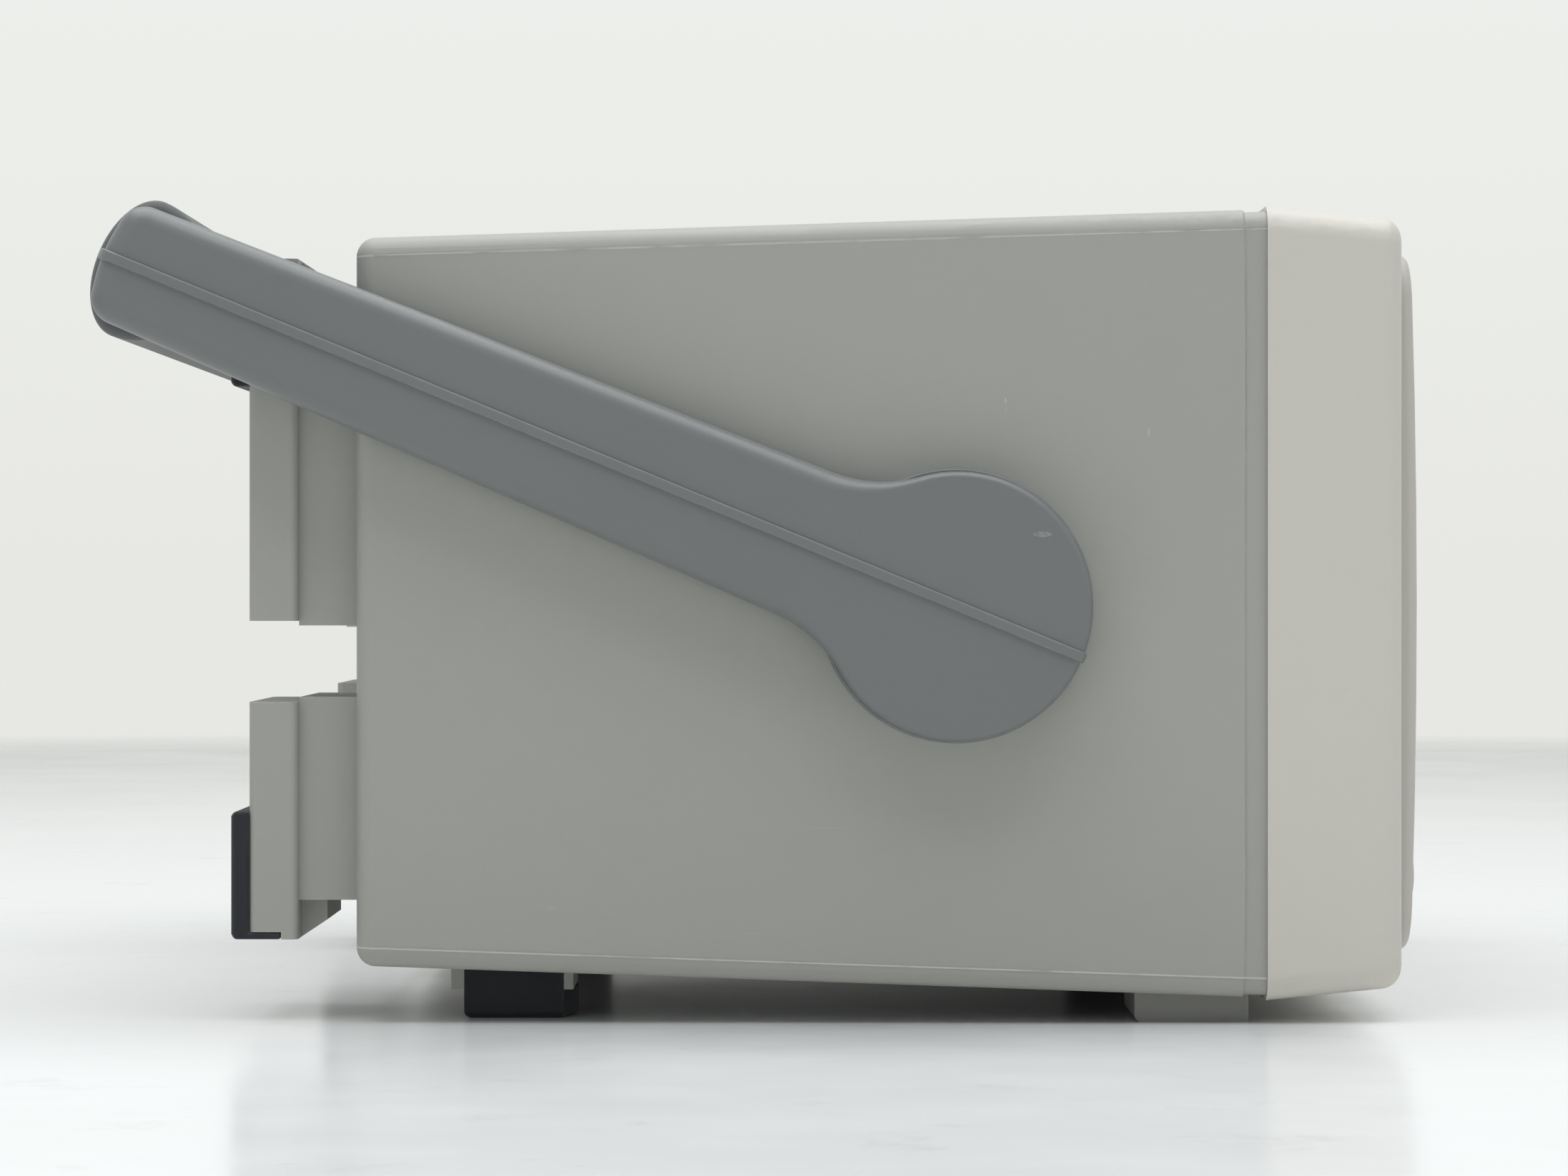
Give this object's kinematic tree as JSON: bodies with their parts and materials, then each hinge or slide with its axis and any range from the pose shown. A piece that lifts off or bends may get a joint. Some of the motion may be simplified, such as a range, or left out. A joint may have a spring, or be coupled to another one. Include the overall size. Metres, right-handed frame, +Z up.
{
  "type": "portable bench oscilloscope",
  "caption": "Boxy portable bench oscilloscope with a tapered grey case, pale front bezel, swinging carry handle with a soft grip, and rear stand-off feet.",
  "frame": {"origin": "middle of the whole object's box at the height of the surface it stands on, handle at rest", "axes": "front faces -Y, +Z up, left side as seen by a person facing the screen is -X"},
  "size_m": [0.3724, 0.3574, 0.2115],
  "materials": {
    "case": "fine-grained satin moulding",
    "bezel": "fine-grained satin moulding",
    "panel": "smooth matt moulding",
    "handle": "satin moulding",
    "grip": "soft matt elastomer",
    "foot_rubber": "matt rubber",
    "window": "clear, low-glare",
    "display": "dark glass-like",
    "knob": "fine-ribbed satin",
    "key": "soft satin",
    "accent_key": "soft satin",
    "black_plastic": "moulded, matt",
    "sheet_metal": "bead-blasted",
    "steel": "zinc-plated",
    "nickel": "nickel-plated",
    "board": "solder-resist gloss"
  },
  "bodies": {
    "cabinet": {"cabinet_shell": "case", "front_bezel": "bezel", "front_panel": "panel", "display_window": "window", "lcd_module": "display", "display_bracket": "steel", "control_board": "board", "chassis_frame": "sheet_metal", "main_board": "board", "acquisition_module": "sheet_metal", "power_supply": "steel", "rear_panel": "sheet_metal", "fan_frame": "black_plastic", "fan_guard": "nickel", "mains_inlet": "black_plastic", "bus_socket": "nickel", "disk_drive": "black_plastic", "probe_calibrator": "nickel", "case_screws": "steel", "foot_screws": "steel", "input_socket_1": "nickel", "input_socket_2": "nickel", "input_socket_3": "nickel", "input_socket_4": "nickel", "trigger_socket": "nickel", "front_foot_left": "case", "base_pad_left": "foot_rubber", "handle_pivot_left": "handle", "rear_foot_upper_left": "case", "rear_bumper_upper_left": "foot_rubber", "rear_foot_lower_left": "case", "rear_bumper_lower_left": "foot_rubber", "front_foot_right": "case", "base_pad_right": "foot_rubber", "handle_pivot_right": "handle", "rear_foot_upper_right": "case", "rear_bumper_upper_right": "foot_rubber", "rear_foot_lower_right": "case", "rear_bumper_lower_right": "foot_rubber"},
    "handle": {"handle_arm_left": "handle", "handle_arm_right": "handle", "handle_crossbar": "handle", "handle_grip": "grip"},
    "fan_rotor": {"fan_rotor": "black_plastic"},
    "jog_knob": {"jog_knob": "knob"},
    "vertical_knob": {"vertical_knob": "knob"},
    "time_knob": {"time_knob": "knob"},
    "trigger_knob": {"trigger_knob": "knob"},
    "soft_key_1": {"soft_key_1": "key"},
    "soft_key_2": {"soft_key_2": "key"},
    "soft_key_3": {"soft_key_3": "key"},
    "soft_key_4": {"soft_key_4": "key"},
    "soft_key_5": {"soft_key_5": "key"},
    "channel_key_1": {"channel_key_1": "key"},
    "channel_key_2": {"channel_key_2": "key"},
    "channel_key_3": {"channel_key_3": "key"},
    "channel_key_4": {"channel_key_4": "key"},
    "run_stop_key": {"run_stop_key": "accent_key"},
    "power_button": {"power_button": "key"},
    "disk_eject_button": {"disk_eject_button": "black_plastic"}
  },
  "joints": [
    {"name": "handle_swing", "type": "hinge", "parent": "cabinet", "child": "handle", "pos_m": [0, -0.04351, 0.1074], "axis": [1, 0, 0], "range_deg": [-38, 215]},
    {"name": "fan_spin", "type": "hinge", "parent": "cabinet", "child": "fan_rotor", "pos_m": [0.042, 0.09069, 0.122], "axis": [0, 1, 0], "continuous": true},
    {"name": "jog_knob_turn", "type": "hinge", "parent": "cabinet", "child": "jog_knob", "pos_m": [0.08, -0.16471, 0.164], "axis": [0, -1, 0], "continuous": true},
    {"name": "vertical_knob_turn", "type": "hinge", "parent": "cabinet", "child": "vertical_knob", "pos_m": [0.066, -0.16471, 0.112], "axis": [0, -1, 0], "continuous": true},
    {"name": "time_knob_turn", "type": "hinge", "parent": "cabinet", "child": "time_knob", "pos_m": [0.101, -0.16471, 0.112], "axis": [0, -1, 0], "continuous": true},
    {"name": "trigger_knob_turn", "type": "hinge", "parent": "cabinet", "child": "trigger_knob", "pos_m": [0.136, -0.16471, 0.112], "axis": [0, -1, 0], "continuous": true},
    {"name": "soft_key_1_press", "type": "slide", "parent": "cabinet", "child": "soft_key_1", "axis": [0, 1, 0], "range_m": [0, 0.0012], "stiffness_N_per_m": 900},
    {"name": "soft_key_2_press", "type": "slide", "parent": "cabinet", "child": "soft_key_2", "axis": [0, 1, 0], "range_m": [0, 0.0012], "stiffness_N_per_m": 900},
    {"name": "soft_key_3_press", "type": "slide", "parent": "cabinet", "child": "soft_key_3", "axis": [0, 1, 0], "range_m": [0, 0.0012], "stiffness_N_per_m": 900},
    {"name": "soft_key_4_press", "type": "slide", "parent": "cabinet", "child": "soft_key_4", "axis": [0, 1, 0], "range_m": [0, 0.0012], "stiffness_N_per_m": 900},
    {"name": "soft_key_5_press", "type": "slide", "parent": "cabinet", "child": "soft_key_5", "axis": [0, 1, 0], "range_m": [0, 0.0012], "stiffness_N_per_m": 900},
    {"name": "channel_key_1_press", "type": "slide", "parent": "cabinet", "child": "channel_key_1", "axis": [0, 1, 0], "range_m": [0, 0.0012], "stiffness_N_per_m": 900},
    {"name": "channel_key_2_press", "type": "slide", "parent": "cabinet", "child": "channel_key_2", "axis": [0, 1, 0], "range_m": [0, 0.0012], "stiffness_N_per_m": 900},
    {"name": "channel_key_3_press", "type": "slide", "parent": "cabinet", "child": "channel_key_3", "axis": [0, 1, 0], "range_m": [0, 0.0012], "stiffness_N_per_m": 900},
    {"name": "channel_key_4_press", "type": "slide", "parent": "cabinet", "child": "channel_key_4", "axis": [0, 1, 0], "range_m": [0, 0.0012], "stiffness_N_per_m": 900},
    {"name": "run_stop_key_press", "type": "slide", "parent": "cabinet", "child": "run_stop_key", "axis": [0, 1, 0], "range_m": [0, 0.0012], "stiffness_N_per_m": 900},
    {"name": "power_button_press", "type": "slide", "parent": "cabinet", "child": "power_button", "axis": [0, 1, 0], "range_m": [0, 0.002], "stiffness_N_per_m": 900},
    {"name": "disk_eject_press", "type": "slide", "parent": "cabinet", "child": "disk_eject_button", "axis": [0, 1, 0], "range_m": [0, 0.003], "stiffness_N_per_m": 500}
  ]
}
